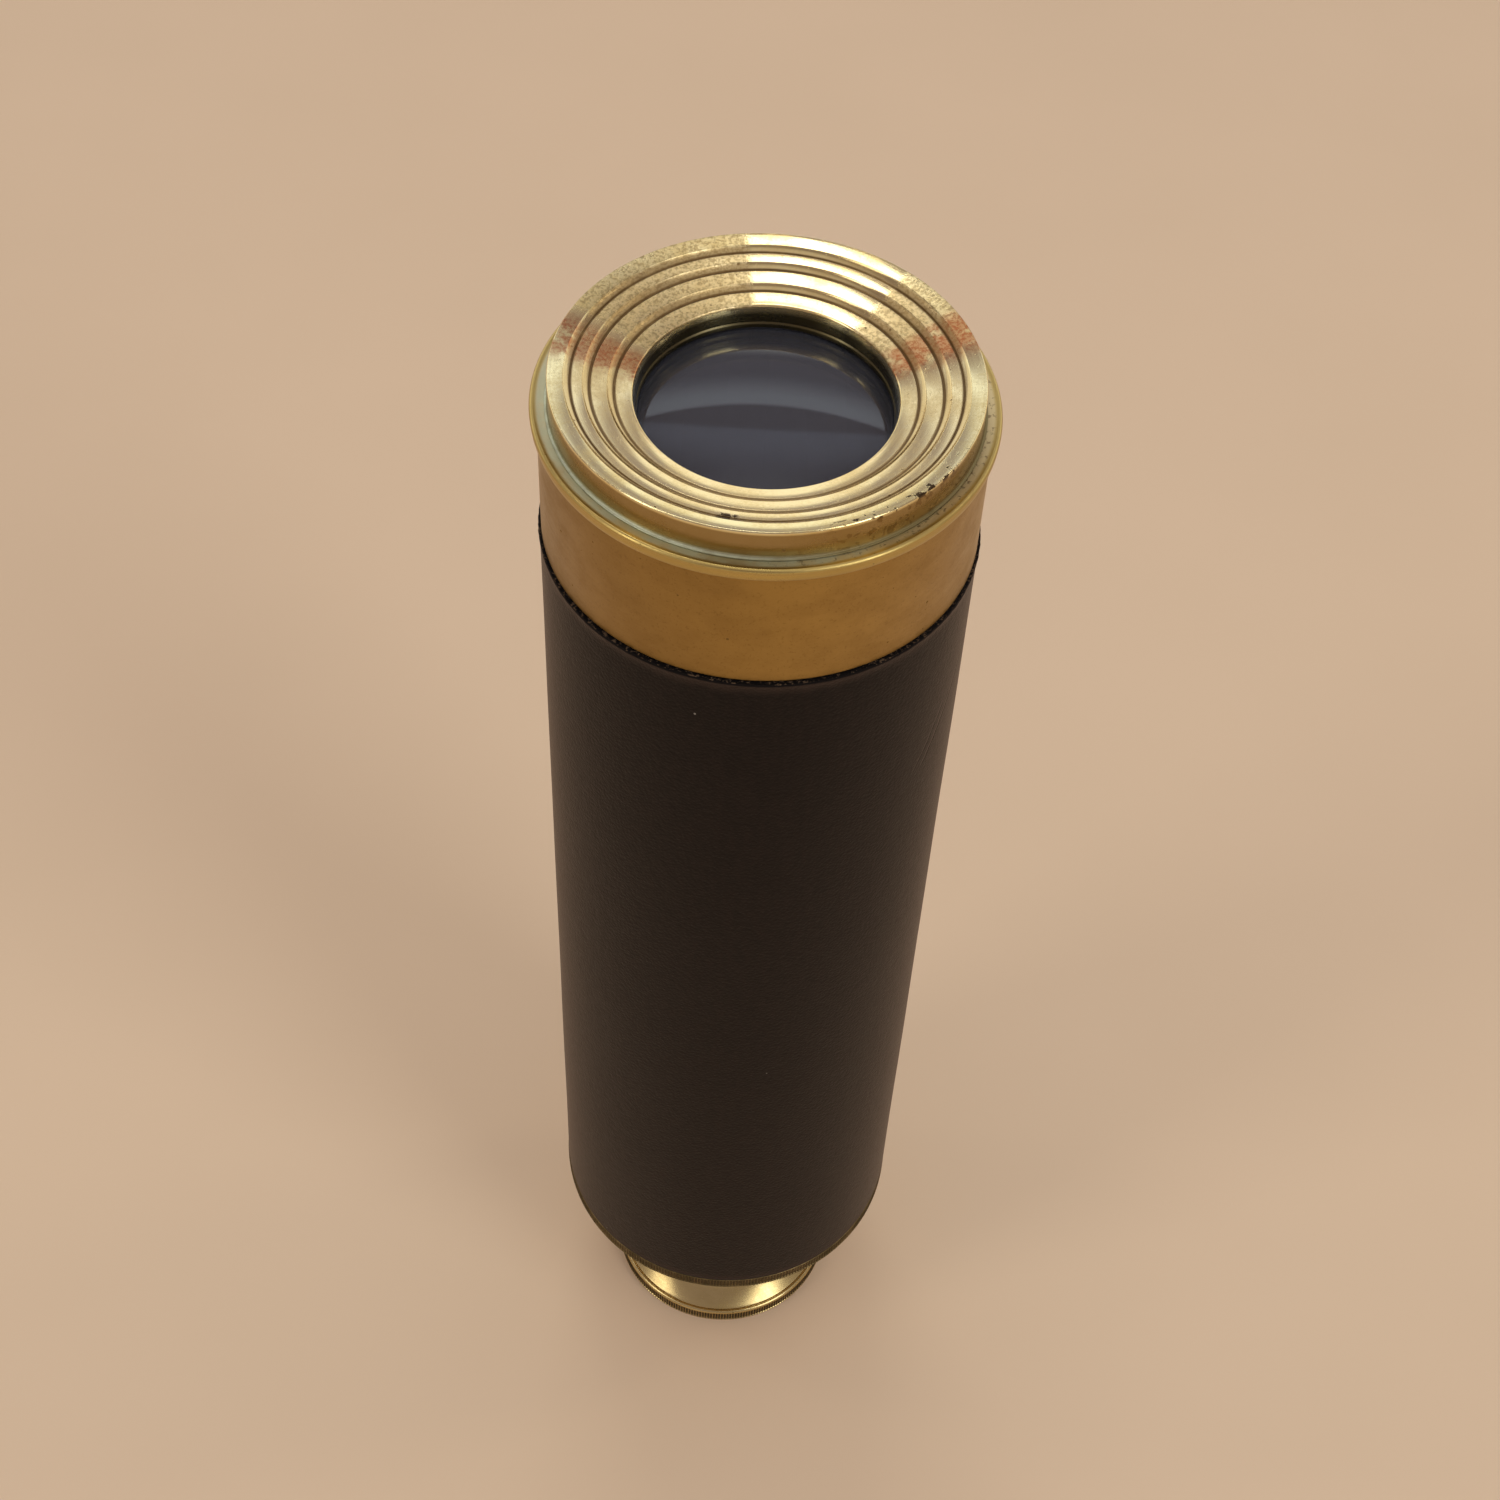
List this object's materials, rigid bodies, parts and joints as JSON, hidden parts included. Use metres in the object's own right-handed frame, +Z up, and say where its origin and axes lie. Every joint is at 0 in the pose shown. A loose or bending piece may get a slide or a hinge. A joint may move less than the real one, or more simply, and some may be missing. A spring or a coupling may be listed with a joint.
{
  "type": "kaleidoscope",
  "caption": "Lens-fronted kaleidoscope: a leather-covered brass barrel with an objective lens at its head, and a sliding, turning draw tube that holds mirrors and ends in a flared eye cup.",
  "frame": {"origin": "centre of the eye cup's rim, on the surface that the part stands on", "axes": "+Z up the barrel's axis, from the eye cup to the objective lens; a mirror faces -Y from the +Y side"},
  "size_m": [0.0454, 0.0454, 0.1701],
  "materials": {
    "brass": "turned and polished, lightly tarnished",
    "spring_brass": "drawn",
    "blackened_brass": "chemically blackened, matt",
    "leather": "fine pebble grain, waxed",
    "lens_glass": "polished",
    "mirror": "front-silvered",
    "cork": "raw cork",
    "cloth_tape": "matt woven"
  },
  "bodies": {
    "barrel": {"barrel_tube": "brass", "leather_cover": "leather", "head_collar": "brass", "objective_bezel": "brass", "objective_lens": "lens_glass", "lens_gasket": "cork", "objective_retaining_ring": "blackened_brass", "tail_collar": "brass", "guide_sleeve": "brass"},
    "slip_ring": {"friction_ring": "spring_brass"},
    "draw": {"draw_tube": "brass", "stop_collar": "brass", "eye_cap": "brass", "eye_cup": "brass", "eye_lens": "lens_glass", "eye_lens_ring": "blackened_brass", "mirror_1": "mirror", "mirror_2": "mirror", "mirror_3": "mirror", "cork_packing_1": "cork", "cork_packing_2": "cork", "cork_packing_3": "cork", "rear_binding_tape": "cloth_tape", "front_binding_tape": "cloth_tape", "rear_mirror_seat": "blackened_brass", "front_mirror_seat": "blackened_brass", "mirror_retaining_ring": "blackened_brass"}
  },
  "joints": [
    {"name": "draw_slide", "type": "slide", "parent": "barrel", "child": "slip_ring", "axis": [0, 0, -1], "range_m": [0, 0.058]},
    {"name": "draw_twist", "type": "hinge", "parent": "slip_ring", "child": "draw", "pos_m": [0, 0, 0.105], "axis": [0, 0, 1], "continuous": true}
  ]
}
